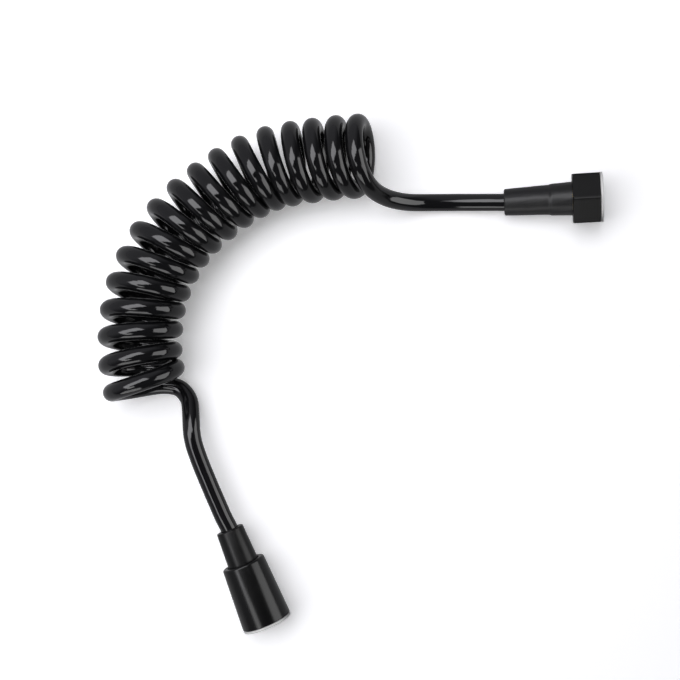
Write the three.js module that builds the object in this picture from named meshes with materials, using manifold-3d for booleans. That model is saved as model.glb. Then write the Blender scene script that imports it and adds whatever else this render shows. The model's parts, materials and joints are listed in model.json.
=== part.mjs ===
// Coiled shower hose with a swivelling hexagonal nut on one end and a conical nut on the other.
// It lies on a flat surface at z = 0, with +Z up. Lengths are in millimetres and angles in degrees.
import * as THREE from "three";
import { mergeVertices } from "three/addons/utils/BufferGeometryUtils.js";
import Module from "manifold-3d";

const wasm = await Module();
wasm.setup();

// Hose: an extruded flexible tube, moulded into a coil between two plain tails
const HOSE_OD = 8.6;
const HOSE_BORE = 6;
const COIL_TURN_RADIUS = 16.1; // from the coil's axis to the middle of the hose
const HOSE_SIDES = 10;
const COIL_SIDES = 28;
const COIL_STEPS = 36;
const TAIL_STEP = 9; // length of one straight stretch of a tail
const FACE_GAP = 0.3; // between the hose and what it meets

// The coil's axis seen from above, from the hexagonal nut's end to the conical nut's end
const COIL_AXIS = [
  [-17.8, 120.4],
  [-45.9, 118.3],
  [-72.0, 112.7],
  [-95.6, 99.5],
  [-116.3, 79.8],
  [-129.0, 54.0],
  [-132.4, 25.9],
  [-128.0, 3.4],
];

// Route of the tail from the coil's last turn down to the surface and up to the hexagonal nut
const HEX_TAIL_ROUTE = [
  [-13.2, 100.4, 17.5],
  [-9.7, 99.6, 14.6],
  [-5.6, 99.1, 11.6],
  [-0.5, 98.9, 8.5],
  [5.2, 99.1, 6.1],
  [11.7, 99.3, 4.8],
  [19.3, 99.4, 4.4],
  [26.7, 99.4, 4.7],
  [33.6, 99.3, 5.5],
  [40.0, 99.2, 6.6],
];

// Route of the tail from the coil's other end up off the surface and level to the conical nut
const CONE_TAIL_ROUTE = [
  [-112.8, 4.4, 5.2],
  [-110.2, 0.7, 7.0],
  [-109.3, -3.8, 8.8],
  [-108.7, -9.3, 11.0],
  [-108.2, -14.8, 12.3],
  [-107.3, -19.8, 12.5],
  [-105.6, -25.2, 12.5],
  [-103.2, -31.6, 12.5],
  [-100.6, -37.9, 12.4],
  [-98.0, -44.1, 12.4],
  [-95.3, -50.3, 12.4],
  [-92.6, -56.5, 12.4],
];

// Threaded core: the white lining of each nut, with a flange that shows at the nut's mouth
const THREAD_MINOR = 18.6; // crest to crest of a half inch pipe thread in a nut
const CORE_WALL = 1.6;
const CORE_FLANGE_LIP = 1.3; // how far the flange stands out round the core
const CORE_FLANGE_THICKNESS = 1.3;
const CORE_GAP = 0.2; // between a core and the shell that is pressed on it
const MOUTH_CHAMFER = 0.7;

// Barbed insert, washer and ferrule: the same kind of joint at both ends
const STEM_WALL = 0.9;
const BARB_HEIGHT = 0.25;
const BARB_COUNT = 3;
const SEAT_THICKNESS = 2;
const SEAT_CLEARANCE = 0.4; // round the insert's seat inside the thread
const SEAT_GAP = 0.3; // between the seat and the nut's web behind it
const SWIVEL_GAP = 0.3; // round the insert's neck in the nut's web
const NECK_OD = 11.4;
const WASHER_THICKNESS = 2;
const WASHER_BORE = 11;
const WASHER_GAP = 0.2;
const FERRULE_GAP = 0.1; // round the hose, where it is crimped

// Hexagonal nut
const HEX_WALL = 0.9; // at the middle of a flat, outside the core
const HEX_LENGTH = 13;
const HEX_WEB = 2.4;
const HEX_CHAMFER_ANGLE = 24;
const HEX_CHAMFER = 1.0; // how far the corners are cut back
const HEX_SIDES = 6;

// Ferrule and shrink sleeve behind the hexagonal nut
const HEX_FERRULE_WALL = 1.0;
const HEX_FERRULE_LENGTH = 31;
const HEX_FERRULE_STEP = 0.4; // height of the ridge at the ferrule's front
const HEX_FERRULE_FLARE = 0.7;
const HEX_FERRULE_RIDGE_LENGTH = 10;
const SLEEVE_GAP = 0.2;
const SLEEVE_WALL = 0.9;
const SLEEVE_OVERHANG = 1.6; // how far it reaches past the ferrule onto the hose

// Conical nut
const CONE_LENGTH = 31;
const CONE_MOUTH_STEP = 0.15; // how far the mouth stands out round the core's flange
const CONE_REAR_WALL = 2.5; // round the cavity for the collar, at the rear
const CONE_REAR_ROUND = 1.2;
const CONE_WEB = 2.8;
const CONE_CAVITY_DEPTH = 14;

// Ferrule and collar behind the conical nut
const CONE_FERRULE_WALL = 1.2;
const CONE_FERRULE_LENGTH = 22;
const COLLAR_GAP = 0.3; // round the ferrule, and round the hose at the collar's rear
const COLLAR_FRONT_WALL = 1.5;
const COLLAR_REAR_WALL = 2;
const COLLAR_REAR_THICKNESS = 4;
const COLLAR_VISIBLE_LENGTH = 17.5;
const COLLAR_ROUND = 0.6;
const COLLAR_CLEARANCE = 0.8; // round the collar in the conical nut

// Where the two nuts lie: the middle of each nut's rear plane, and the way its mouth points
const HEX_PLACE = [79.0, 100.2];
const HEX_YAW = 2;
const HEX_RISE = 10.5;
const HEX_ROLL = 7.4; // from a corner straight up, towards -Y
const CONE_PLACE = [-83.0, -78.7];
const CONE_YAW = -68;
const CONE_RISE = 0;

// How the shapes are made
const SEGMENTS = 40; // round a turned piece
const ROUND_STEPS = 3; // in a quarter round
const CUT_MARGIN = 1; // how far a cutting shape reaches past what it cuts
const WELD = 1e-4; // corners nearer than this become one

// Sizes that follow from those above
const HOSE_RADIUS = HOSE_OD / 2;
const CORE_OD = THREAD_MINOR + 2 * CORE_WALL;
const CORE_FLANGE_OD = CORE_OD + 2 * CORE_FLANGE_LIP;
const SHELL_BORE = CORE_OD + 2 * CORE_GAP;
const HEX_FLATS = SHELL_BORE + 2 * HEX_WALL;
const WEB_HOLE = NECK_OD + 2 * SWIVEL_GAP;
const FERRULE_BORE = HOSE_OD + 2 * FERRULE_GAP;
const CONE_FERRULE_OD = FERRULE_BORE + 2 * CONE_FERRULE_WALL;
const COLLAR_BORE = CONE_FERRULE_OD + 2 * COLLAR_GAP;
const COLLAR_FRONT_OD = COLLAR_BORE + 2 * COLLAR_FRONT_WALL;
const COLLAR_REAR_BORE = HOSE_OD + 2 * COLLAR_GAP;
const COLLAR_REAR_OD = COLLAR_REAR_BORE + 2 * COLLAR_REAR_WALL;
const CONE_REAR_BORE = COLLAR_FRONT_OD + 2 * COLLAR_CLEARANCE;
const CONE_REAR_OD = CONE_REAR_BORE + 2 * CONE_REAR_WALL;
const CONE_MOUTH_OD = CORE_FLANGE_OD + 2 * CONE_MOUTH_STEP;
const FERRULE_FRONT = -FACE_GAP - SEAT_GAP;
const HEX_SLEEVE_REAR = FERRULE_FRONT - HEX_FERRULE_LENGTH - SLEEVE_OVERHANG;

const radians = THREE.MathUtils.degToRad;

function finish(colour, roughness, metalness = 0) {
  return new THREE.MeshStandardMaterial({ color: colour, roughness, metalness });
}

const HOSE_FINISH = finish(0x111114, 0.2);
const SHELL_FINISH = finish(0x151516, 0.45);
const CORE_FINISH = finish(0xeeeeec, 0.5);
const SLEEVE_FINISH = finish(0x1c1c1e, 0.6);
const COLLAR_FINISH = finish(0x141415, 0.4);
const METAL_FINISH = finish(0xb5975a, 0.35, 1);
const WASHER_FINISH = finish(0x1a1a1a, 0.8);

function named(name, geometry, material) {
  const mesh = new THREE.Mesh(geometry, material);
  mesh.name = name;
  return mesh;
}

// A turned solid about the local Y axis. Each point is [diameter, distance along the axis],
// in order round the section so that the faces point out.
function turned(section) {
  const points = section.map(([diameter, along]) => new THREE.Vector2(diameter / 2, along));
  points.push(points[0].clone());
  return new THREE.LatheGeometry(points, SEGMENTS);
}

// A plain ring or tube about the local Y axis
function ring(outer, bore, rear, front) {
  return turned([[bore, rear], [outer, rear], [outer, front], [bore, front]]);
}

// A quarter round at the outer rear edge of a turned part, from its rear face to its side
function rearRound(diameter, rear, radius) {
  const points = [];
  for (let step = 0; step <= ROUND_STEPS; step += 1) {
    const turn = (step / ROUND_STEPS) * (Math.PI / 2);
    const inward = radius * (1 - Math.sin(turn));
    points.push([diameter - 2 * inward, rear + radius * (1 - Math.cos(turn))]);
  }
  return points;
}

function solidOf(geometry) {
  const plain = geometry.clone();
  plain.deleteAttribute("normal");
  plain.deleteAttribute("uv");
  const merged = mergeVertices(plain, WELD);
  const mesh = new wasm.Mesh({
    numProp: 3,
    vertProperties: new Float32Array(merged.attributes.position.array),
    triVerts: new Uint32Array(merged.index.array),
  });
  return new wasm.Manifold(mesh);
}

function geometryOf(solid) {
  const mesh = solid.getMesh();
  const geometry = new THREE.BufferGeometry();
  geometry.setAttribute("position", new THREE.BufferAttribute(mesh.vertProperties, 3));
  geometry.setIndex(new THREE.BufferAttribute(mesh.triVerts, 1));
  geometry.computeVertexNormals();
  return geometry;
}

function circle(radius, sides) {
  const outline = [];
  for (let side = 0; side < sides; side += 1) {
    const turn = (side / sides) * 2 * Math.PI;
    outline.push(new THREE.Vector2(radius * Math.cos(turn), radius * Math.sin(turn)));
  }
  return new THREE.Shape(outline);
}

// A round solid swept along a route of points
function swept(route, radius, sides, steps) {
  const path = new THREE.CatmullRomCurve3(route.map((point) => new THREE.Vector3(...point)));
  return new THREE.ExtrudeGeometry(circle(radius, sides), { steps, extrudePath: path });
}

function sweptTail(route) {
  const path = new THREE.CatmullRomCurve3(route.map((point) => new THREE.Vector3(...point)));
  const steps = Math.ceil(path.getLength() / TAIL_STEP);
  return swept(route, HOSE_RADIUS, HOSE_SIDES, steps);
}

// A group whose local Y axis points out of a nut's mouth, with its origin in the nut's rear plane
// and its local Z axis turned by roll from straight up
function fittingGroup(place, height, yaw, rise, roll) {
  const mouth = new THREE.Vector3(
    Math.cos(radians(rise)) * Math.cos(radians(yaw)),
    Math.cos(radians(rise)) * Math.sin(radians(yaw)),
    Math.sin(radians(rise)),
  );
  const side = new THREE.Vector3().crossVectors(mouth, new THREE.Vector3(0, 0, 1)).normalize();
  const up = new THREE.Vector3().crossVectors(side, mouth);
  up.applyAxisAngle(mouth, radians(roll));
  side.crossVectors(mouth, up);
  const group = new THREE.Group();
  group.quaternion.setFromRotationMatrix(new THREE.Matrix4().makeBasis(side, mouth, up));
  group.position.set(place[0], place[1], height);
  return group;
}

function pointOnAxis(group, along) {
  return new THREE.Vector3(0, along, 0).applyQuaternion(group.quaternion).add(group.position);
}

// The white threaded lining of a nut, from behind its seat to the flange at its mouth
function core(webFront, shellFront) {
  const rear = webFront + CORE_GAP;
  const flangeRear = shellFront + CORE_GAP;
  const mouth = flangeRear + CORE_FLANGE_THICKNESS;
  return turned([
    [THREAD_MINOR, rear],
    [CORE_OD, rear],
    [CORE_OD, flangeRear],
    [CORE_FLANGE_OD, flangeRear],
    [CORE_FLANGE_OD, mouth],
    [THREAD_MINOR + 2 * MOUTH_CHAMFER, mouth],
    [THREAD_MINOR, mouth - MOUTH_CHAMFER],
  ]);
}

// The turned insert: a barbed stem in the hose, a neck through the nut's web, and a round seat
function insert(webFront, neckRear, stemLength) {
  const waterway = HOSE_BORE - 2 * STEM_WALL;
  const seatRear = webFront + SEAT_GAP;
  const stemRear = neckRear - stemLength;
  const section = [[waterway, stemRear], [HOSE_BORE, stemRear]];
  const barbLength = stemLength / (BARB_COUNT + 1);
  for (let barb = 1; barb <= BARB_COUNT; barb += 1) {
    const along = stemRear + barb * barbLength;
    section.push([HOSE_BORE + 2 * BARB_HEIGHT, along], [HOSE_BORE, along]);
  }
  section.push(
    [HOSE_BORE, neckRear],
    [NECK_OD, neckRear],
    [NECK_OD, seatRear],
    [THREAD_MINOR - 2 * SEAT_CLEARANCE, seatRear],
    [THREAD_MINOR - 2 * SEAT_CLEARANCE, seatRear + SEAT_THICKNESS],
    [waterway, seatRear + SEAT_THICKNESS],
  );
  return turned(section);
}

function washer(webFront) {
  const rear = webFront + SEAT_GAP + SEAT_THICKNESS + WASHER_GAP;
  return ring(THREAD_MINOR - 2 * WASHER_GAP, WASHER_BORE, rear, rear + WASHER_THICKNESS);
}

// Hexagonal nut: a six-sided prism with its corners turned off, a bore for the core and a
// smaller hole through the web
function hexNut() {
  const cornerRadius = HEX_FLATS / 2 / Math.cos(Math.PI / HEX_SIDES);
  const outline = circle(cornerRadius, HEX_SIDES);
  const prism = new THREE.ExtrudeGeometry(outline, { depth: HEX_LENGTH, bevelEnabled: false });
  prism.rotateX(-Math.PI / 2);
  prism.rotateY(Math.PI / 2);
  const cut = HEX_CHAMFER * Math.tan(radians(HEX_CHAMFER_ANGLE));
  const corner = 2 * cornerRadius;
  const envelope = turned([
    [0, 0],
    [corner - 2 * HEX_CHAMFER, 0],
    [corner + 2 * HEX_CHAMFER, 2 * cut],
    [corner + 2 * HEX_CHAMFER, HEX_LENGTH - 2 * cut],
    [corner - 2 * HEX_CHAMFER, HEX_LENGTH],
    [0, HEX_LENGTH],
  ]);
  const hollow = turned([
    [0, -CUT_MARGIN],
    [WEB_HOLE, -CUT_MARGIN],
    [WEB_HOLE, HEX_WEB],
    [SHELL_BORE, HEX_WEB],
    [SHELL_BORE, HEX_LENGTH + CUT_MARGIN],
    [0, HEX_LENGTH + CUT_MARGIN],
  ]);
  return geometryOf(solidOf(prism).intersect(solidOf(envelope)).subtract(solidOf(hollow)));
}

// Ferrule behind the hexagonal nut: a crimped tube that flares to a ridge at its front
function hexFerrule() {
  const rear = FERRULE_FRONT - HEX_FERRULE_LENGTH;
  const ridge = FERRULE_FRONT - HEX_FERRULE_RIDGE_LENGTH;
  const rearOd = FERRULE_BORE + 2 * HEX_FERRULE_WALL;
  const flaredOd = rearOd + 2 * HEX_FERRULE_FLARE;
  const ridgeOd = flaredOd + 2 * HEX_FERRULE_STEP;
  return turned([
    [FERRULE_BORE, rear],
    [rearOd, rear],
    [flaredOd, ridge - HEX_FERRULE_STEP],
    [ridgeOd, ridge + HEX_FERRULE_STEP],
    [ridgeOd, FERRULE_FRONT],
    [FERRULE_BORE, FERRULE_FRONT],
  ]);
}

// Shrink sleeve: it follows the ferrule with a thin wall and closes on the hose behind it
function shrinkSleeve() {
  const front = FERRULE_FRONT;
  const ferruleRear = front - HEX_FERRULE_LENGTH;
  const ridge = front - HEX_FERRULE_RIDGE_LENGTH;
  const rearBore = FERRULE_BORE + 2 * (HEX_FERRULE_WALL + SLEEVE_GAP);
  const flaredBore = rearBore + 2 * HEX_FERRULE_FLARE;
  const ridgeBore = flaredBore + 2 * HEX_FERRULE_STEP;
  const hoseBore = HOSE_OD + 2 * SLEEVE_GAP;
  const wall = 2 * SLEEVE_WALL;
  return turned([
    [hoseBore, HEX_SLEEVE_REAR],
    [rearBore + wall - SLEEVE_WALL, HEX_SLEEVE_REAR],
    [rearBore + wall, HEX_SLEEVE_REAR + SLEEVE_WALL / 2],
    [flaredBore + wall, ridge - 2 * HEX_FERRULE_STEP],
    [ridgeBore + wall, ridge + HEX_FERRULE_STEP],
    [ridgeBore + wall + SLEEVE_WALL, front],
    [ridgeBore, front],
    [ridgeBore, ridge + HEX_FERRULE_STEP],
    [flaredBore, ridge - 2 * HEX_FERRULE_STEP],
    [rearBore, ferruleRear - SLEEVE_GAP],
    [hoseBore, ferruleRear - SLEEVE_GAP],
  ]);
}

// Conical nut: a tapered shell with a cavity for the collar, a web, and a bore for the core
function coneNut() {
  const webFront = CONE_CAVITY_DEPTH + CONE_WEB;
  return turned([
    [CONE_REAR_BORE, CONE_CAVITY_DEPTH],
    [CONE_REAR_BORE, CONE_REAR_ROUND],
    [CONE_REAR_BORE + 2 * MOUTH_CHAMFER, 0],
    ...rearRound(CONE_REAR_OD, 0, CONE_REAR_ROUND),
    [CONE_MOUTH_OD, CONE_LENGTH - MOUTH_CHAMFER / 2],
    [CONE_MOUTH_OD - MOUTH_CHAMFER / 2, CONE_LENGTH],
    [SHELL_BORE, CONE_LENGTH],
    [SHELL_BORE, webFront],
    [WEB_HOLE, webFront],
    [WEB_HOLE, CONE_CAVITY_DEPTH],
  ]);
}

// Collar: a smooth tapered sleeve over the ferrule, which stands in the conical nut's cavity
function coneCollar() {
  const front = CONE_CAVITY_DEPTH - SEAT_GAP;
  const rear = -COLLAR_VISIBLE_LENGTH;
  return turned([
    [COLLAR_REAR_BORE, rear],
    ...rearRound(COLLAR_REAR_OD, rear, COLLAR_ROUND),
    [COLLAR_FRONT_OD, 0],
    [COLLAR_FRONT_OD, front],
    [COLLAR_BORE, front],
    [COLLAR_BORE, rear + COLLAR_REAR_THICKNESS],
    [COLLAR_REAR_BORE, rear + COLLAR_REAR_THICKNESS],
  ]);
}

const hose = new THREE.Group();
const cornerDrop = HEX_FLATS / 2 / Math.cos(Math.PI / HEX_SIDES);
const hexHeight = cornerDrop * Math.cos(radians(HEX_RISE));
const coneHeight = CONE_MOUTH_OD / 2;

// Hexagonal end: the nut and its core turn, and the rest is fixed to the hose
const hexEnd = fittingGroup(HEX_PLACE, hexHeight, HEX_YAW, HEX_RISE, HEX_ROLL);
const hexStem = HEX_FERRULE_LENGTH - FACE_GAP;
hexEnd.add(
  named("hex_nut", hexNut(), SHELL_FINISH),
  named("hex_nut_core", core(HEX_WEB, HEX_LENGTH), CORE_FINISH),
  named("hex_insert", insert(HEX_WEB, FERRULE_FRONT + FACE_GAP, hexStem), METAL_FINISH),
  named("hex_washer", washer(HEX_WEB), WASHER_FINISH),
  named("hex_ferrule", hexFerrule(), METAL_FINISH),
  named("hex_shrink_sleeve", shrinkSleeve(), SLEEVE_FINISH),
);
hose.add(hexEnd);

// Conical end: the same joint under a tapered nut, with a smooth collar over its ferrule
const coneEnd = fittingGroup(CONE_PLACE, coneHeight, CONE_YAW, CONE_RISE, 0);
const coneWebFront = CONE_CAVITY_DEPTH + CONE_WEB;
const coneFerruleFront = CONE_CAVITY_DEPTH - SEAT_GAP;
const coneStem = CONE_FERRULE_LENGTH - FACE_GAP;
const coneNeckRear = coneFerruleFront + FACE_GAP;
coneEnd.add(
  named("cone_nut", coneNut(), SHELL_FINISH),
  named("cone_nut_core", core(coneWebFront, CONE_LENGTH), CORE_FINISH),
  named("cone_insert", insert(coneWebFront, coneNeckRear, coneStem), METAL_FINISH),
  named("cone_washer", washer(coneWebFront), WASHER_FINISH),
  named(
    "cone_ferrule",
    ring(CONE_FERRULE_OD, FERRULE_BORE, coneFerruleFront - CONE_FERRULE_LENGTH, coneFerruleFront),
    METAL_FINISH,
  ),
  named("cone_collar", coneCollar(), COLLAR_FINISH),
);
hose.add(coneEnd);

// The hose: a tail to each fitting, and the coil as the round space that its turns fill
const hexTailEnd = pointOnAxis(hexEnd, HEX_SLEEVE_REAR - FACE_GAP).toArray();
const coneTailEnd = pointOnAxis(coneEnd, -COLLAR_VISIBLE_LENGTH - FACE_GAP).toArray();
const coilRadius = COIL_TURN_RADIUS + HOSE_RADIUS;
const coilRoute = COIL_AXIS.map(([x, y]) => [x, y, coilRadius]);
hose.add(
  named("hose_tail_hex_end", sweptTail([...HEX_TAIL_ROUTE, hexTailEnd]), HOSE_FINISH),
  named("hose_coil", swept(coilRoute, coilRadius, COIL_SIDES, COIL_STEPS), HOSE_FINISH),
  named("hose_tail_cone_end", sweptTail([...CONE_TAIL_ROUTE, coneTailEnd]), HOSE_FINISH),
);

export default hose;
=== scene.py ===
import json
import math

import bmesh
import bpy
from mathutils import Matrix, Vector


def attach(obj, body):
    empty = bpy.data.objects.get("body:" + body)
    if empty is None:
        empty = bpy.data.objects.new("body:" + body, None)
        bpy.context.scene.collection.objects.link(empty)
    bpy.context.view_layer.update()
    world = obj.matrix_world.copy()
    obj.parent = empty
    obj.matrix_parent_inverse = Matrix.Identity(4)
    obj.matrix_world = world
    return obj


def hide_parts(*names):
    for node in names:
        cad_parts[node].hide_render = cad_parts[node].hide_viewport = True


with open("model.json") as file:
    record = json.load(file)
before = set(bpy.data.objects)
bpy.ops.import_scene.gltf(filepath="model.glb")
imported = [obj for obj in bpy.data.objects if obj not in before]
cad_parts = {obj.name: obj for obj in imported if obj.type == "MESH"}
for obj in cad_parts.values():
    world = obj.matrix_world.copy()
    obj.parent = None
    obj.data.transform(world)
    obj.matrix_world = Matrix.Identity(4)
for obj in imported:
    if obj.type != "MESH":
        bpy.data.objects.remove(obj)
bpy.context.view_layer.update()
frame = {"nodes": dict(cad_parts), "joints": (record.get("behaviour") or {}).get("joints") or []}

joints = {joint["name"]: joint for joint in frame["joints"]}

# The view
# The hose lies on a pale table, seen straight down from about half a metre above it.
CAMERA_PLACE = (-0.0352, 0.0307, 0.550)
CAMERA_LENS = 57.8

camera = bpy.data.objects.new("camera", bpy.data.cameras.new("camera"))
camera.location = CAMERA_PLACE
camera.data.lens = CAMERA_LENS
camera.data.clip_start = 0.01
bpy.context.scene.collection.objects.link(camera)
bpy.context.scene.camera = camera
bpy.context.scene.view_settings.view_transform = "Standard"

# The hose
# One extruded tube of soft glossy plastic. It is wound on a mandrel while warm, so that it keeps
# 17 turns, and its two plain tails run out to the fittings that are crimped on its ends.
MM = 0.001
HOSE_OD = 8.6 * MM
TURN_RADIUS = 16.1 * MM
FIRST_TURN, LAST_TURN = 0.12, 16.64  # where the tails begin
POINTS_PER_TURN = 24
AHEAD = 0.05  # of a turn, to find the way that the coil's axis runs
RING_STEP = 1.4 * MM
RING_POINTS = 32
FINE_STEPS = 12  # between two points of the route, to measure its length

# The coil's axis from above and how far its turns lean along it: turn, x and y in mm, degrees
COIL_KNOTS = [
    (0, -19.5, 120.3, 21),
    (2.5, -45.9, 118.0, 13.5),
    (5, -72.0, 112.7, 7),
    (7.5, -95.4, 99.3, 3),
    (10, -116.0, 79.5, -1),
    (12.5, -128.8, 53.7, -2.5),
    (15, -132.1, 25.6, -1.5),
    (17, -128.6, 2.4, 6),
]

# The tail's route in mm from the coil's first turn to the hexagonal nut
HEX_TAIL_ROUTE = [
    (-21.3, 104.8, 27.2),
    (-17.8, 102.2, 22.4),
    (-13.2, 100.4, 17.5),
    (-9.7, 99.6, 14.6),
    (-5.6, 99.1, 11.6),
    (-0.5, 98.9, 8.5),
    (5.2, 99.1, 6.1),
    (11.7, 99.3, 4.8),
    (19.3, 99.4, 4.4),
    (26.7, 99.4, 4.7),
    (33.6, 99.3, 5.5),
    (40.0, 99.2, 6.6),
]

# The tail's route in mm from the coil's last turn to the conical nut's collar
CONE_TAIL_ROUTE = [
    (-125.2, 7.9, 4.4),
    (-119.6, 7.8, 4.5),
    (-115.9, 6.9, 4.8),
    (-113.2, 5.0, 5.4),
    (-110.2, 0.7, 7.0),
    (-109.3, -3.8, 8.8),
    (-108.7, -9.3, 11.0),
    (-108.2, -14.8, 12.3),
    (-107.3, -19.8, 12.5),
    (-105.6, -25.2, 12.5),
    (-103.2, -31.6, 12.5),
    (-100.6, -37.9, 12.4),
    (-98.0, -44.1, 12.4),
    (-95.3, -50.3, 12.4),
    (-92.6, -56.5, 12.4),
]

# Distances along each fitting's axis, from its nut's rear plane
HEX_PIVOT = 1.2 * MM
CONE_PIVOT = 15.4 * MM
SLEEVE_REAR = -33.2 * MM
COLLAR_REAR = -17.5 * MM
HOSE_TUCK = 5 * MM  # how far the hose reaches into the sleeve and the collar


def fitting_frame(joint, pivot, roll=0.0):
    """Where a fitting lies: local Z out of its nut's mouth, local Y up, turned by roll degrees."""
    mouth = Vector(joint["axis"]).normalized()
    side = mouth.cross(Vector((0, 0, 1))).normalized()
    up = side.cross(mouth)
    turn = Matrix((side, up, mouth)).transposed().to_4x4()
    place = Vector(joint["pos_m"]) - pivot * mouth
    return Matrix.Translation(place) @ turn @ Matrix.Rotation(math.radians(roll), 4, "Z")


def between_knots(knots, turn):
    """The smooth values of a table of knots at one turn, by cubic pieces."""
    last = len(knots) - 2
    index = next((i for i in range(last) if knots[i + 1][0] > turn), last)
    before, after = knots[max(index - 1, 0)], knots[min(index + 2, last + 1)]
    start, end = knots[index], knots[index + 1]
    gap = end[0] - start[0]
    t = (turn - start[0]) / gap
    values = []
    for k in range(1, len(start)):
        slope_in = (end[k] - before[k]) / (end[0] - before[0]) * gap
        slope_out = (after[k] - start[k]) / (after[0] - start[0]) * gap
        values.append(
            (2 * t**3 - 3 * t**2 + 1) * start[k]
            + (t**3 - 2 * t**2 + t) * slope_in
            + (3 * t**2 - 2 * t**3) * end[k]
            + (t**3 - t**2) * slope_out
        )
    return values


def coil_point(turn):
    """A point of the hose's centreline: inside at whole turns, outside half a turn on."""
    x, y, lean = between_knots(COIL_KNOTS, turn)
    ahead_x, ahead_y, _ = between_knots(COIL_KNOTS, turn + AHEAD)
    along = Vector((ahead_x - x, ahead_y - y, 0)).normalized()
    outward = Vector((along.y, -along.x, 0))
    angle = math.pi - 2 * math.pi * turn
    height = TURN_RADIUS * math.sin(angle)
    point = Vector((x, y, 0)) * MM + outward * TURN_RADIUS * math.cos(angle)
    point += along * height * math.tan(math.radians(lean))
    point.z = TURN_RADIUS + HOSE_OD / 2 + height
    return point


def evenly_along(points, step):
    """Points about a step apart on the smooth curve through the given ones."""
    fine = []
    ends = [2 * points[0] - points[1], *points, 2 * points[-1] - points[-2]]
    for p0, p1, p2, p3 in zip(ends, ends[1:], ends[2:], ends[3:]):
        k0, k1, k2 = ((b - a).length ** 0.5 for a, b in ((p0, p1), (p1, p2), (p2, p3)))
        m1 = p2 - p1 + k1 * ((p1 - p0) / k0 - (p2 - p0) / (k0 + k1))
        m2 = p2 - p1 + k1 * ((p3 - p2) / k2 - (p3 - p1) / (k1 + k2))
        for i in range(FINE_STEPS):
            t = i / FINE_STEPS
            fine.append(
                (2 * t**3 - 3 * t**2 + 1) * p1
                + (t**3 - 2 * t**2 + t) * m1
                + (3 * t**2 - 2 * t**3) * p2
                + (t**3 - t**2) * m2
            )
    fine.append(points[-1])
    total = sum((b - a).length for a, b in zip(fine, fine[1:]))
    count = round(total / step)
    spacing = total / count
    even, walked = [fine[0]], 0.0
    for a, b in zip(fine, fine[1:]):
        length = (b - a).length
        while walked + length >= spacing * len(even) and len(even) < count:
            even.append(a.lerp(b, (spacing * len(even) - walked) / length))
        walked += length
    return [*even, fine[-1]]


def make_piece(name, mesh, material, body, slot, *nodes):
    """Puts a finished mesh in the scene, on its body, in the place of the nodes it stands for."""
    mesh.materials.clear()
    mesh.materials.append(material)
    mesh.shade_smooth()
    piece = bpy.data.objects.new(name, mesh)
    bpy.context.scene.collection.objects.link(piece)
    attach(piece, body)
    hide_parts(*nodes)
    return piece


def tube_mesh(name, line, radius, around):
    """A round tube along a line of points, with the way along and round it kept as along_hose."""
    verts, faces, grain = [], [], []
    tangents = [(b - a).normalized() for a, b in zip([line[0], *line], [*line[1:], line[-1]])]
    side = tangents[0].cross(Vector((0, 0, 1))).normalized()
    walked = 0.0
    for index, (point, tangent) in enumerate(zip(line, tangents)):
        side = (side - tangent * side.dot(tangent)).normalized()
        up = side.cross(tangent)
        walked += (point - line[max(index - 1, 0)]).length
        for k in range(around):
            angle = 2 * math.pi * k / around
            verts.append(point + radius * (math.cos(angle) * side + math.sin(angle) * up))
            grain.append((math.cos(angle), math.sin(angle), walked))
            if index:
                here, there = index * around, (index - 1) * around
                beside = (k + 1) % around
                faces.append((there + k, there + beside, here + beside, here + k))
    last = len(verts) - around
    faces.append(tuple(range(around)))
    faces.append(tuple(range(last + around - 1, last - 1, -1)))
    mesh = bpy.data.meshes.new(name)
    mesh.from_pydata(verts, [], faces)
    layer = mesh.attributes.new("along_hose", "FLOAT_VECTOR", "POINT")
    layer.data.foreach_set("vector", [number for point in grain for number in point])
    outward_faces(mesh)
    return mesh


def outward_faces(mesh):
    """Turns every face of a closed mesh outwards."""
    shape = bmesh.new()
    shape.from_mesh(mesh)
    bmesh.ops.recalc_face_normals(shape, faces=shape.faces)
    shape.to_mesh(mesh)
    shape.free()


class Wire:
    """A socket in a tree of nodes, on which Python's sums add Math nodes."""

    def __init__(self, tree, socket=None):
        self.tree = tree
        self.socket = socket

    def node(self, kind, settings=None, sockets=None, output=0):
        """Any node: its settings first, then the values or wires of its sockets."""
        made = self.tree.nodes.new(kind)
        for key, value in (settings or {}).items():
            setattr(made, key, value)
        for key, value in (sockets or {}).items():
            self.feed(made.inputs[key], value)
        return Wire(self.tree, made.outputs[output])

    def feed(self, target, value):
        if isinstance(value, Wire):
            self.tree.links.new(value.socket, target)
        else:
            target.default_value = value

    def math(self, operation, *values):
        return self.node("ShaderNodeMath", {"operation": operation}, dict(enumerate(values)))

    def __add__(self, other):
        return self.math("ADD", self, other)

    def __mul__(self, other):
        return self.math("MULTIPLY", self, other)

    def __sub__(self, other):
        return self.math("SUBTRACT", self, other)

    def __rsub__(self, other):
        return self.math("SUBTRACT", other, self)

    def __truediv__(self, other):
        return self.math("DIVIDE", self, other)

    def __rtruediv__(self, other):
        return self.math("DIVIDE", other, self)

    __radd__ = __add__
    __rmul__ = __mul__


def noise_wire(wire, place, scale, detail=2.0):
    """Soft noise from 0 to 1. Its scale is the waves in each unit of the place."""
    return wire.node("ShaderNodeTexNoise", {}, {"Vector": place, "Scale": scale, "Detail": detail})


def mixed(wire, share, first, second):
    """A colour between two, by a share that varies over the surface."""
    settings = {"data_type": "RGBA"}
    sockets = {0: share, 6: (*first, 1.0), 7: (*second, 1.0)}
    return wire.node("ShaderNodeMix", settings, sockets, output=2)


def bumped(wire, height, distance, strength):
    """The surface's normal, tilted by a height from 0 to 1 over a distance."""
    sockets = {"Height": height, "Distance": distance, "Strength": strength}
    return wire.node("ShaderNodeBump", {}, sockets)


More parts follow.
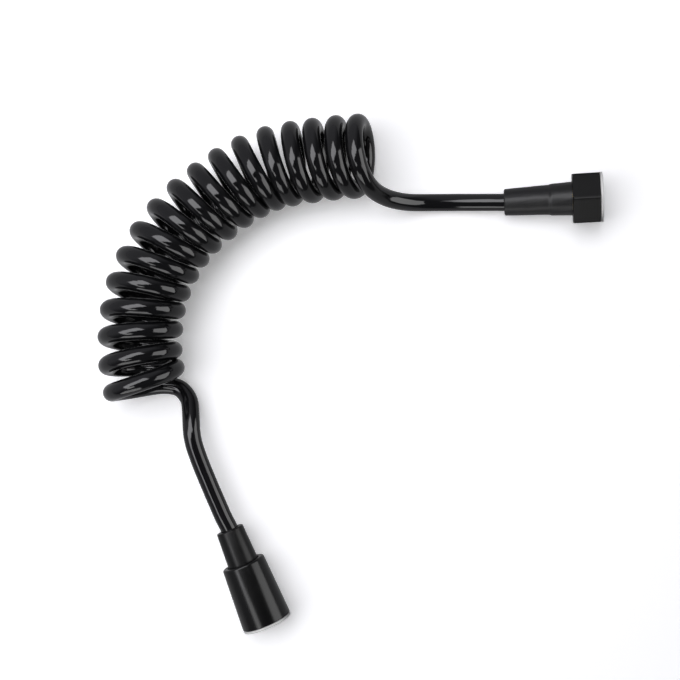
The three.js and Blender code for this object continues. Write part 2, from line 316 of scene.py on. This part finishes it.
def new_finish(name, finish):
    """A material whose Principled shader gets its sockets from a function of the tree's wire."""
    material = bpy.data.materials.new(name)
    material.use_nodes = True
    wire = Wire(material.node_tree)
    shader = material.node_tree.nodes["Principled BSDF"]
    for key, value in finish(wire).items():
        wire.feed(shader.inputs[key], value)
    return material


def hose_finish(wire):
    """Glossy black plastic with faint streaks along it from the extruder's die."""
    along = wire.node("ShaderNodeAttribute", {"attribute_name": "along_hose"}, {}, "Vector")
    stretched = wire.node("ShaderNodeMapping", {}, {"Vector": along, "Scale": (7.0, 7.0, 18.0)})
    streaks = noise_wire(wire, stretched, 1.0, 3.0)
    place = wire.node("ShaderNodeTexCoord", {}, {}, "Object")
    grain = noise_wire(wire, place, 900.0)
    return {
        "Base Color": mixed(wire, streaks, (0.003, 0.003, 0.0034), (0.006, 0.006, 0.0068)),
        "Roughness": streaks * 0.05 + grain * 0.03 + 0.05,
        "Normal": bumped(wire, streaks * 0.8 + grain * 0.05, 0.08 * MM, 0.5),
    }


hex_joint, cone_joint = joints["hex_nut_swivel"], joints["cone_nut_swivel"]
hex_frame = fitting_frame(hex_joint, HEX_PIVOT)
cone_frame = fitting_frame(cone_joint, CONE_PIVOT)
hose_exit = hex_frame @ Vector((0, 0, SLEEVE_REAR))
turn_count = math.ceil((LAST_TURN - FIRST_TURN) * POINTS_PER_TURN)
turns = [FIRST_TURN + (LAST_TURN - FIRST_TURN) * i / turn_count for i in range(turn_count + 1)]
route = [
    hex_frame @ Vector((0, 0, SLEEVE_REAR + HOSE_TUCK)),
    hose_exit,
    *(Vector(point) * MM for point in reversed(HEX_TAIL_ROUTE)),
    *(coil_point(turn) for turn in turns),
    *(Vector(point) * MM for point in CONE_TAIL_ROUTE),
    cone_frame @ Vector((0, 0, COLLAR_REAR)),
    cone_frame @ Vector((0, 0, COLLAR_REAR + HOSE_TUCK)),
]
hose_line = evenly_along(route, RING_STEP)
hose = make_piece(
    "hose",
    tube_mesh("hose", hose_line, HOSE_OD / 2, RING_POINTS),
    new_finish("extruded_black_hose", hose_finish),
    "hose",
    "hose_plastic",
    "hose_coil",
    "hose_tail_hex_end",
    "hose_tail_cone_end",
)

# Fittings in general
# Both ends are made alike: a brass insert in the hose carries a loose nut with a white threaded
# core pressed into it, and a rubber washer lies on the insert's seat.
AROUND = 96
THREAD_CREST = 9.3 * MM  # the bore's radius at the crests of a half inch pipe thread
THREAD_DEPTH = 1.16 * MM
THREAD_PITCH = 1.814 * MM
THREAD_FLAT = 0.15  # of half the pitch, level at each crest and each root
BORE_REACH = 1.002  # times the crests' radius: what lies nearer the axis is the bore
BORE_ROWS_PER_PITCH = 10
MOUTH_CHAMFER = 0.7 * MM
MOUTH_EDGE = 0.1 * MM
CORE_RADIUS = 10.9 * MM
CORE_GAP = 0.2 * MM
CORE_EDGE = 0.15 * MM
FLANGE_RADIUS = 12.2 * MM
FLANGE_THICKNESS = 1.3 * MM
FLANGE_EDGE = 0.35 * MM
SHELL_BORE = 11.1 * MM
WEB_HOLE = 6.0 * MM
WEB_EDGE = 0.15 * MM
WASHER_INSIDE, WASHER_OUTSIDE = 5.5 * MM, 9.1 * MM
WASHER_REAR = 2.5 * MM  # from the front of the nut's web
WASHER_THICKNESS = 2.0 * MM
WASHER_EDGE = 0.25 * MM
THREAD_CREASE = math.radians(50)  # an edge that turns by more than this stays sharp
TURNED_CREASE = math.radians(40)


def rounded_outline(corners, steps=5):
    """A closed outline. Each corner is its radius, its distance along the axis, its rounding."""
    outline = []
    for index, (radius, along, rounding) in enumerate(corners):
        corner = Vector((radius, along))
        back = Vector(corners[index - 1][:2]) - corner
        ahead = Vector(corners[(index + 1) % len(corners)][:2]) - corner
        if not rounding:
            outline.append(corner)
            continue
        start = corner + back.normalized() * rounding
        end = corner + ahead.normalized() * rounding
        for step in range(steps + 1):
            t = step / steps
            outline.append((1 - t) ** 2 * start + 2 * t * (1 - t) * corner + t**2 * end)
    return outline


def ring_mesh(name, sections):
    """A closed ring of sections, each a loop of as many points, joined to the next one."""
    count = len(sections[0])
    verts = [point for section in sections for point in section]
    faces = []
    for s in range(len(sections)):
        here, there = s * count, (s + 1) % len(sections) * count
        for k in range(count):
            beside = (k + 1) % count
            faces.append((here + k, here + beside, there + beside, there + k))
    mesh = bpy.data.meshes.new(name)
    mesh.from_pydata(verts, [], faces)
    outward_faces(mesh)
    return mesh


def turned_mesh(name, outline):
    """A turned ring about the local Z axis."""
    sections = []
    for k in range(AROUND):
        angle = 2 * math.pi * k / AROUND
        across = Vector((math.cos(angle), math.sin(angle), 0))
        sections.append([across * radius + Vector((0, 0, along)) for radius, along in outline])
    return ring_mesh(name, sections)


def geometry_tree(name, sizes):
    """A tree of geometry nodes with named inputs. Gives its wire and the wires of its inputs."""
    tree = bpy.data.node_groups.new(name, "GeometryNodeTree")
    tree.interface.new_socket("Geometry", in_out="INPUT", socket_type="NodeSocketGeometry")
    for size in sizes:
        tree.interface.new_socket(size, in_out="INPUT", socket_type="NodeSocketFloat")
    tree.interface.new_socket("Finish", in_out="INPUT", socket_type="NodeSocketMaterial")
    tree.interface.new_socket("Geometry", in_out="OUTPUT", socket_type="NodeSocketGeometry")
    source = tree.nodes.new("NodeGroupInput")
    return Wire(tree), {key: Wire(tree, source.outputs[key]) for key in source.outputs.keys() if key}


def close_tree(wire, shape, finish):
    """Ends a tree with Realize Instances and Set Material."""
    real = wire.node("GeometryNodeRealizeInstances", {}, {"Geometry": shape})
    made = wire.node("GeometryNodeSetMaterial", {}, {"Geometry": real, "Material": finish})
    wire.feed(wire.tree.nodes.new("NodeGroupOutput").inputs["Geometry"], made)


def through_tree(mesh, tree, values):
    """The mesh that a tree makes of this one, with its inputs set by their sockets' identifiers."""
    carrier = bpy.data.objects.new(mesh.name, mesh)
    bpy.context.scene.collection.objects.link(carrier)
    modifier = carrier.modifiers.new("tree", "NODES")
    modifier.node_group = tree
    for item in tree.interface.items_tree:
        if item.in_out == "INPUT" and item.name in values:
            modifier[item.identifier] = values[item.name]
    bpy.context.view_layer.update()
    made = carrier.evaluated_get(bpy.context.evaluated_depsgraph_get())
    result = bpy.data.meshes.new_from_object(made)
    carrier.modifiers.clear()
    bpy.data.objects.remove(carrier)
    return result


def thread_tree():
    """Cuts a screw thread into a plain bore round Z: the rows of the bore move out in grooves."""
    wire, inputs = geometry_tree("screw_thread", ["Crest", "Depth", "Pitch", "First", "Last"])
    place = wire.node("GeometryNodeInputPosition")
    x, y, z = (wire.node("ShaderNodeSeparateXYZ", {}, {"Vector": place}, k) for k in range(3))
    radius = wire.math("SQRT", x * x + y * y)
    turn = wire.math("ARCTAN2", y, x) * (1 / (2 * math.pi))
    phase = wire.math("FRACT", z / inputs["Pitch"] - turn)
    groove = wire.math("PINGPONG", phase * 2.0, 1.0)
    flank = {0: groove, 1: THREAD_FLAT, 2: 1 - THREAD_FLAT}
    shaped = wire.node("ShaderNodeMapRange", {"interpolation_type": "SMOOTHSTEP"}, flank)
    start = wire.node("ShaderNodeClamp", {}, {0: (z - inputs["First"]) / inputs["Pitch"]})
    end = wire.node("ShaderNodeClamp", {}, {0: (inputs["Last"] - z) / inputs["Pitch"]})
    out = inputs["Depth"] * shaped * start * end / radius
    offset = wire.node("ShaderNodeCombineXYZ", {}, {"X": x * out, "Y": y * out, "Z": 0.0})
    bore = wire.math("LESS_THAN", radius, inputs["Crest"] * BORE_REACH)
    sockets = {"Geometry": inputs["Geometry"], "Selection": bore, "Offset": offset}
    close_tree(wire, wire.node("GeometryNodeSetPosition", {}, sockets), inputs["Finish"])
    return wire.tree


def core_finish(wire):
    """White moulded plastic with a slight cloudiness."""
    place = wire.node("ShaderNodeTexCoord", {}, {}, "Object")
    cloud = noise_wire(wire, place, 180.0)
    grain = noise_wire(wire, place, 2500.0)
    return {
        "Base Color": mixed(wire, cloud, (0.64, 0.64, 0.62), (0.71, 0.71, 0.69)),
        "Roughness": cloud * 0.1 + 0.38,
        "Normal": bumped(wire, grain, 0.02 * MM, 0.4),
    }


def rubber_finish(wire):
    """Black rubber with a dull moulded skin."""
    place = wire.node("ShaderNodeTexCoord", {}, {}, "Object")
    grain = noise_wire(wire, place, 1500.0, 4.0)
    return {
        "Base Color": mixed(wire, grain, (0.012, 0.012, 0.012), (0.03, 0.03, 0.03)),
        "Roughness": grain * 0.15 + 0.65,
        "Normal": bumped(wire, grain, 0.05 * MM, 0.6),
    }


def brass_finish(wire):
    """Turned brass with a fine grain and a little tarnish."""
    place = wire.node("ShaderNodeTexCoord", {}, {}, "Object")
    tarnish = noise_wire(wire, place, 350.0, 4.0)
    grain = noise_wire(wire, place, 4000.0)
    return {
        "Base Color": mixed(wire, tarnish, (0.71, 0.52, 0.24), (0.52, 0.36, 0.15)),
        "Metallic": 1.0,
        "Roughness": tarnish * 0.2 + 0.2,
        "Normal": bumped(wire, grain, 0.01 * MM, 0.5),
    }


core_material = new_finish("white_moulded_plastic", core_finish)
rubber_material = new_finish("washer_rubber", rubber_finish)
brass_material = new_finish("turned_brass", brass_finish)
screw_thread = thread_tree()


def nut_lining(end, body, place, web_front, shell_front):
    """One end's white core with its thread and its washer, and brass for its insert and ferrule."""
    rear = web_front + CORE_GAP
    flange = shell_front + CORE_GAP
    mouth = flange + FLANGE_THICKNESS
    bore_front = mouth - MOUTH_CHAMFER
    outline = rounded_outline([
        (THREAD_CREST, rear, 0),
        (CORE_RADIUS, rear, CORE_EDGE),
        (CORE_RADIUS, flange, 0),
        (FLANGE_RADIUS, flange, CORE_EDGE),
        (FLANGE_RADIUS, mouth, FLANGE_EDGE),
        (THREAD_CREST + MOUTH_CHAMFER, mouth, MOUTH_EDGE),
        (THREAD_CREST, bore_front, 0),
    ])
    rows = round((mouth - rear) / THREAD_PITCH * BORE_ROWS_PER_PITCH)
    step = (bore_front - rear) / rows
    outline += [Vector((THREAD_CREST, rear + step * row)) for row in range(rows - 1, 0, -1)]
    values = {
        "Crest": THREAD_CREST,
        "Depth": THREAD_DEPTH,
        "Pitch": THREAD_PITCH,
        "First": rear,
        "Last": bore_front,
        "Finish": core_material,
    }
    core = through_tree(turned_mesh(end + "_thread_core", outline), screw_thread, values)
    core.transform(place)
    core.set_sharp_from_angle(angle=THREAD_CREASE)
    core_piece = make_piece(
        end + "_thread_core", core, core_material, body, "thread_core", end + "_nut_core"
    )
    back = web_front + WASHER_REAR
    front = back + WASHER_THICKNESS
    washer = turned_mesh(end + "_seal", rounded_outline([
        (WASHER_INSIDE, back, WASHER_EDGE),
        (WASHER_OUTSIDE, back, WASHER_EDGE),
        (WASHER_OUTSIDE, front, WASHER_EDGE),
        (WASHER_INSIDE, front, WASHER_EDGE),
    ]))
    washer.transform(place)
    washer_piece = make_piece(
        end + "_seal", washer, rubber_material, "hose", "washer_rubber", end + "_washer"
    )
    for node in (end + "_insert", end + "_ferrule"):
        solid = frame["nodes"][node]
        solid.data.materials.clear()
        solid.data.materials.append(brass_material)
    return core_piece, washer_piece


# Hexagonal end
# A nut moulded in satin black plastic, with its corners turned off. Behind it a length of shrink
# tube is shrunk over the crimped ferrule, and keeps soft creases along its outside.
HEX_ROLL = 7.4  # degrees, from a corner straight up
HEX_HALF_FLATS = 12.0 * MM
HEX_LENGTH = 13.0 * MM
HEX_WEB = 2.4 * MM
HEX_CHAMFER = 1.0 * MM
CHAMFER_SLOPE = math.tan(math.radians(24))
CORNER_ROUND = 0.012  # share of its radius that each long corner is rounded back by
HEX_COLUMNS = 144
HEX_END_ROWS = [0, 0.12, 0.24, 0.36, 0.48, 0.6]  # in mm from each end, across the turned corners
HEX_EDGE = 0.15 * MM
HEX_CREASE = math.radians(15)


def nut_radius(angle, along):
    """The hexagon's radius at an angle and height, where the turned corners cut it back."""
    turned = (angle + math.pi / 6) % (math.pi / 3) - math.pi / 6
    flat = HEX_HALF_FLATS / math.cos(turned)
    corner = HEX_HALF_FLATS / math.cos(math.pi / 6)
    end = min(along, HEX_LENGTH - along)
    cone = corner - HEX_CHAMFER + end / CHAMFER_SLOPE
    softened = corner * (1 - CORNER_ROUND)
    return min(flat, cone, softened)


def hex_nut_mesh():
    """The shell: a section for each direction round Z, from the hexagon in to the bore."""
    rear_rows = [row * MM for row in HEX_END_ROWS]
    rows = rear_rows + [HEX_LENGTH - row for row in reversed(rear_rows)]
    inside = rounded_outline([
        (SHELL_BORE, HEX_LENGTH, 0),
        (SHELL_BORE, HEX_WEB, 0),
        (WEB_HOLE, HEX_WEB, WEB_EDGE),
        (WEB_HOLE, 0, WEB_EDGE),
    ])
    sections = []
    for k in range(HEX_COLUMNS):
        angle = 2 * math.pi * k / HEX_COLUMNS
        across = Vector((math.sin(angle), math.cos(angle), 0))
        outside = [Vector((nut_radius(angle - math.pi / 6, row), row)) for row in rows]
        outside[0].x -= HEX_EDGE
        outside[-1].x -= HEX_EDGE
        sections.append([across * r + Vector((0, 0, along)) for r, along in outside + inside])
    return ring_mesh("hex_shell", sections)


def satin_finish(wire):
    """Black moulded plastic with a fine spark-eroded grain."""
    place = wire.node("ShaderNodeTexCoord", {}, {}, "Object")
    grain = noise_wire(wire, place, 2600.0, 3.0)
    cloud = noise_wire(wire, place, 90.0)
    return {
        "Base Color": mixed(wire, cloud, (0.002, 0.002, 0.002), (0.004, 0.004, 0.004)),
        "Roughness": cloud * 0.08 + 0.34,
        "Specular IOR Level": 0.28,
        "Normal": bumped(wire, grain, 0.03 * MM, 0.5),
    }


hex_place = fitting_frame(hex_joint, HEX_PIVOT, -HEX_ROLL)
hex_shell = hex_nut_mesh()
hex_shell.transform(hex_place)
hex_shell.set_sharp_from_angle(angle=HEX_CREASE)
make_piece(
    "hex_shell",
    hex_shell,
    new_finish("satin_black_plastic", satin_finish),
    "hex_coupling_nut",
    "nut_shell",
    "hex_nut",
)
nut_lining("hex", "hex_coupling_nut", hex_place, HEX_WEB, HEX_LENGTH)

# The sleeve's outside and its bore, which follows the ferrule: radius, then distance along the
# axis from the nut's rear plane, both in mm
SLEEVE_OUTSIDE = [(6.05, -33.2), (6.6, -32.7), (7.4, -11.4), (7.8, -10.2), (8.25, -0.1)]
SLEEVE_INSIDE = [(6.7, -0.1), (6.7, -10.2), (6.3, -11.4), (5.6, -31.8), (4.5, -31.8), (4.5, -33.2)]
SLEEVE_ROWS_STEP = 0.5 * MM
CREASE_HEIGHT = 0.14 * MM
CREASED_FROM = 6.0 * MM  # the radius beyond which the tube is creased
CREASE_SQUEEZE = 0.25  # of the distance along the tube, which draws the creases out


def shrunk_tree():
    """Lifts a tube round Z, beyond a radius, in soft creases that run mostly along it."""
    wire, inputs = geometry_tree("shrunk_creases", ["Height", "From"])
    place = wire.node("GeometryNodeInputPosition")
    x, y, z = (wire.node("ShaderNodeSeparateXYZ", {}, {"Vector": place}, k) for k in range(3))
    radius = wire.math("SQRT", x * x + y * y)
    squeezed = wire.node("ShaderNodeCombineXYZ", {}, {"X": x, "Y": y, "Z": z * CREASE_SQUEEZE})
    waves = noise_wire(wire, squeezed, 320.0, 1.5)
    lift = (waves - 0.5) * 2.0 * inputs["Height"] / radius
    offset = wire.node("ShaderNodeCombineXYZ", {}, {"X": x * lift, "Y": y * lift, "Z": 0.0})
    creased = wire.math("GREATER_THAN", radius, inputs["From"])
    sockets = {"Geometry": inputs["Geometry"], "Selection": creased, "Offset": offset}
    close_tree(wire, wire.node("GeometryNodeSetPosition", {}, sockets), inputs["Finish"])
    return wire.tree


def sleeve_finish(wire):
    """Matt black shrink tube: a dull skin with fine lengthwise marks."""
    place = wire.node("ShaderNodeTexCoord", {}, {}, "Object")
    skin = noise_wire(wire, place, 700.0, 4.0)
    stretch = {"Vector": place, "Scale": (90.0, 1400.0, 1400.0)}
    marks = noise_wire(wire, wire.node("ShaderNodeMapping", {}, stretch), 1.0, 3.0)
    return {
        "Base Color": mixed(wire, skin, (0.003, 0.003, 0.0033), (0.007, 0.007, 0.0075)),
        "Roughness": skin * 0.12 + 0.34,
        "Specular IOR Level": 0.42,
        "Normal": bumped(wire, marks * 0.6 + skin * 0.4, 0.06 * MM, 0.6),
    }


def spread(points, step):
    """An outline's points in mm with more between them, about a step apart, in metres."""
    result = []
    for a, b in zip(points, points[1:]):
        a, b = Vector(a) * MM, Vector(b) * MM
        pieces = max(1, round((b - a).length / step))
        result += [a.lerp(b, i / pieces) for i in range(pieces)]
    return result + [Vector(points[-1]) * MM]


sleeve_material = new_finish("shrink_tube", sleeve_finish)
sleeve_outline = spread(SLEEVE_OUTSIDE, SLEEVE_ROWS_STEP)
sleeve_outline += [Vector(point) * MM for point in SLEEVE_INSIDE]
sleeve = through_tree(
    turned_mesh("shrink_sleeve", sleeve_outline),
    shrunk_tree(),
    {"Height": CREASE_HEIGHT, "From": CREASED_FROM, "Finish": sleeve_material},
)
sleeve.transform(hex_frame)
sleeve.set_sharp_from_angle(angle=TURNED_CREASE)
make_piece("shrink_sleeve", sleeve, sleeve_material, "hose", "shrink_sleeve", "hex_shrink_sleeve")

# Conical end
# A tapered nut, moulded in black plastic with a fuller gloss and a soft rear lip, turns over a
# smooth plastic collar, which covers the ferrule at this end of the hose.
CONE_LENGTH = 31.0 * MM
CONE_REAR_RADIUS = 10.7 * MM
CONE_MOUTH_RADIUS = 12.35 * MM
CONE_CAVITY_RADIUS = 8.2 * MM
CONE_CAVITY_DEPTH = 14.0 * MM
CONE_WEB_FRONT = 16.8 * MM
CONE_CAVITY_EDGE = 0.7 * MM
CONE_REAR_EDGE = 1.1 * MM
CONE_MOUTH_EDGE = 0.3 * MM
COLLAR_FRONT = 13.7 * MM
COLLAR_RADIUS = 7.6 * MM
COLLAR_REAR_RADIUS = 6.8 * MM
COLLAR_BORE = 5.9 * MM
COLLAR_REAR_BORE = 4.6 * MM
COLLAR_REAR_WALL = 4.0 * MM
COLLAR_REAR_EDGE = 0.6 * MM
COLLAR_BEND = 0.5 * MM  # where its taper ends, in the nut's rear plane
COLLAR_EDGE = 0.3 * MM


def cone_finish(wire, smoothest=0.2, reflection=0.36):
    """Black moulded plastic with a half gloss."""
    place = wire.node("ShaderNodeTexCoord", {}, {}, "Object")
    cloud = noise_wire(wire, place, 120.0)
    grain = noise_wire(wire, place, 1800.0, 3.0)
    return {
        "Base Color": mixed(wire, cloud, (0.0015, 0.0015, 0.0015), (0.003, 0.003, 0.003)),
        "Roughness": cloud * 0.05 + smoothest,
        "Specular IOR Level": reflection,
        "Normal": bumped(wire, grain, 0.012 * MM, 0.4),
    }


def collar_finish(wire):
    """The same plastic with a duller skin."""
    return cone_finish(wire, smoothest=0.295, reflection=0.3)


cone_material = new_finish("half_gloss_black_plastic", cone_finish)
cone_shell = turned_mesh("cone_shell", rounded_outline([
    (CONE_CAVITY_RADIUS, CONE_CAVITY_DEPTH, 0),
    (CONE_CAVITY_RADIUS, 0, CONE_CAVITY_EDGE),
    (CONE_REAR_RADIUS, 0, CONE_REAR_EDGE),
    (CONE_MOUTH_RADIUS, CONE_LENGTH, CONE_MOUTH_EDGE),
    (SHELL_BORE, CONE_LENGTH, 0),
    (SHELL_BORE, CONE_WEB_FRONT, 0),
    (WEB_HOLE, CONE_WEB_FRONT, WEB_EDGE),
    (WEB_HOLE, CONE_CAVITY_DEPTH, WEB_EDGE),
]))
cone_shell.transform(cone_frame)
cone_shell.set_sharp_from_angle(angle=TURNED_CREASE)
cone_pieces = [
    make_piece("cone_shell", cone_shell, cone_material, "cone_coupling_nut", "cone_shell", "cone_nut"),
    *nut_lining("cone", "cone_coupling_nut", cone_frame, CONE_WEB_FRONT, CONE_LENGTH),
]
collar_material = new_finish("dull_black_plastic", collar_finish)
collar = turned_mesh("collar", rounded_outline([
    (COLLAR_REAR_BORE, COLLAR_REAR, COLLAR_EDGE),
    (COLLAR_REAR_RADIUS, COLLAR_REAR, COLLAR_REAR_EDGE),
    (COLLAR_RADIUS, 0, COLLAR_BEND),
    (COLLAR_RADIUS, COLLAR_FRONT, COLLAR_EDGE),
    (COLLAR_BORE, COLLAR_FRONT, COLLAR_EDGE),
    (COLLAR_BORE, COLLAR_REAR + COLLAR_REAR_WALL, 0),
    (COLLAR_REAR_BORE, COLLAR_REAR + COLLAR_REAR_WALL, 0),
]))
collar.transform(cone_frame)
collar.set_sharp_from_angle(angle=TURNED_CREASE)
cone_pieces.append(
    make_piece("collar", collar, collar_material, "hose", "cone_shell", "cone_collar")
)
cone_pieces += [frame["nodes"]["cone_insert"], frame["nodes"]["cone_ferrule"]]

# The table and the light
# A white table under one large soft box, overhead to the left. Three smaller boxes, on the right,
# towards the viewer and on the left, are only there for the gloss to mirror.
TABLE_HALF = 3.0
BLACK, WHITE = (0.0, 0.0, 0.0), (1.0, 1.0, 1.0)
TABLE_COLOUR = (0.98, 0.98, 0.98)
# Painted shade: to every ray but the camera's the table is dimmer, so what the gloss mirrors of it and
# the light it throws back are darker than it looks.
TABLE_COLOUR_PAINTED_SHADE = (0.15, 0.15, 0.16)  # to every ray but the camera's
TABLE_LIFT = 0.29  # white that the table adds of itself where it is seen or mirrored
FADE_START, FADE_END = 0.35, 1.0  # metres from the middle, where the seen table turns all white
CORNERS = [(-1, -1), (1, -1), (1, 1), (-1, 1)]

table_mesh = bpy.data.meshes.new("table")
table_verts = [(x * TABLE_HALF, y * TABLE_HALF, 0) for x, y in CORNERS]
table_mesh.from_pydata(table_verts, [], [(0, 1, 2, 3)])
table = bpy.data.objects.new("table", table_mesh)
bpy.context.scene.collection.objects.link(table)


def table_finish(wire):
    """White where it is seen, the more so far from the hose, and dimmer to every other ray: painted
    shade in its reflections and bounced light.
    """
    camera_ray, glossy_ray, through_ray = (
        wire.node("ShaderNodeLightPath", {}, {}, ray)
        for ray in ("Is Camera Ray", "Is Glossy Ray", "Is Transmission Ray")
    )
    place = wire.node("ShaderNodeTexCoord", {}, {}, "Object")
    distance = wire.node("ShaderNodeVectorMath", {"operation": "LENGTH"}, {0: place}, "Value")
    fade = {0: distance, 1: FADE_START, 2: FADE_END, 3: TABLE_LIFT, 4: 1.0}
    seen_lift = camera_ray * wire.node("ShaderNodeMapRange", {}, fade)
    mirrored_lift = (glossy_ray + through_ray) * TABLE_LIFT
    return {
        "Base Color": mixed(wire, camera_ray, TABLE_COLOUR_PAINTED_SHADE, TABLE_COLOUR),
        "Roughness": 0.9,
        "Specular IOR Level": 0.0,
        "Emission Color": mixed(wire, seen_lift + mirrored_lift, BLACK, WHITE),
        "Emission Strength": 1.0,
    }


table_mesh.materials.append(new_finish("white_table", table_finish))


def soft_box(name, place, turn, size, brightness, colour=WHITE):
    """A rectangular lamp. With no turn it faces straight down, with its width along X."""
    lamp = bpy.data.lights.new(name, "AREA")
    lamp.shape = "RECTANGLE"
    lamp.size, lamp.size_y = size
    lamp.energy = brightness * math.pi * lamp.size * lamp.size_y
    lamp.color = colour
    box = bpy.data.objects.new(name, lamp)
    box.location = place
    box.rotation_euler = [math.radians(angle) for angle in turn]
    bpy.context.scene.collection.objects.link(box)
    return box


soft_box("overhead_box", (-0.567, 0.123, 1.03), (0, 0, 38), (1.5, 0.7), 4.2, (0.97, 0.97, 1.0))
for mirrored in (
    soft_box("right_box", (0.9, 0.0, 0.6), (0, 90, 0), (0.95, 0.95), 2.8),
    soft_box("near_box", (-0.31, -0.93, 0.33), (90, 0, 0), (0.75, 0.5), 2.6),
    soft_box("left_box", (-0.622, -0.6, 1.03), (0, 0, 38), (0.5, 0.45), 3.6),
):
    mirrored.visible_diffuse = False

# The camera's dark body and the arm that holds it, in halves of their sizes. Only the gloss shows
# them, where they cover a part of the light from overhead.
BODY_HALF = Vector((0.09, 0.06, 0.03))
BODY_LIFT = 0.08  # of its middle above the lens
ARM_HALF = Vector((0.235, 0.065, 0.02))
ARM_WAY = math.radians(213)  # the way that the arm leaves the body, from +X


def camera_block(half, place, turn):
    """A block of the camera's outfit, given by half its sizes."""
    verts = [(x * half.x, y * half.y, z * half.z) for z in (-1, 1) for x, y in CORNERS]
    faces = [(3, 2, 1, 0), (4, 5, 6, 7)]
    faces += [(k, (k + 1) % 4, (k + 1) % 4 + 4, k + 4) for k in range(4)]
    mesh = bpy.data.meshes.new("camera_block")
    mesh.from_pydata(verts, [], faces)
    mesh.transform(Matrix.Translation(place) @ Matrix.Rotation(turn, 4, "Z"))
    return mesh


def dark_finish(wire):
    """Dull black paint, the same all over."""
    return {"Base Color": (0.02, 0.02, 0.02, 1.0), "Roughness": 0.6}


camera_black = new_finish("camera_black", dark_finish)
body_place = Vector(CAMERA_PLACE) + Vector((0, 0, BODY_LIFT))
arm_place = body_place + Vector((math.cos(ARM_WAY), math.sin(ARM_WAY), 0)) * ARM_HALF.x
for block_name, block_mesh in (
    ("camera_body", camera_block(BODY_HALF, body_place, 0)),
    ("camera_arm", camera_block(ARM_HALF, arm_place, ARM_WAY)),
):
    block_mesh.materials.append(camera_black)
    block = bpy.data.objects.new(block_name, block_mesh)
    bpy.context.scene.collection.objects.link(block)
    block.visible_camera = False
    block.visible_diffuse = False
    block.visible_shadow = False

# The room is dim, with a pale wall on the left and behind that lifts the shadows a little. What is
# seen of it, straight or through something, is white.
ROOM_DIM, ROOM_PALE = 0.08, 0.42
ROOM_COLOUR = (0.93, 0.93, 1.0)
WALL_WAY = (-0.7, 0.7, 0.1)
WALL_EDGE = 0.5  # cosine from the wall's way within which the room is all pale
world = bpy.data.worlds.new("room")
bpy.context.scene.world = world
world.use_nodes = True
wire = Wire(world.node_tree)
way = wire.node("ShaderNodeTexCoord", {}, {}, "Generated")
dot_product = {"operation": "DOT_PRODUCT"}
towards_wall = wire.node("ShaderNodeVectorMath", dot_product, {0: way, 1: WALL_WAY}, "Value")
wall_fade = {0: towards_wall, 1: 0.0, 2: WALL_EDGE, 3: ROOM_DIM, 4: ROOM_PALE}
pale = wire.node("ShaderNodeMapRange", {}, wall_fade)
seen_ray = wire.node("ShaderNodeLightPath", {}, {}, "Is Camera Ray")
through_ray = wire.node("ShaderNodeLightPath", {}, {}, "Is Transmission Ray")
direct = seen_ray + through_ray
background = world.node_tree.nodes["Background"].inputs
wire.feed(background["Color"], mixed(wire, direct, ROOM_COLOUR, WHITE))
wire.feed(background["Strength"], direct + (1 - direct) * pale)
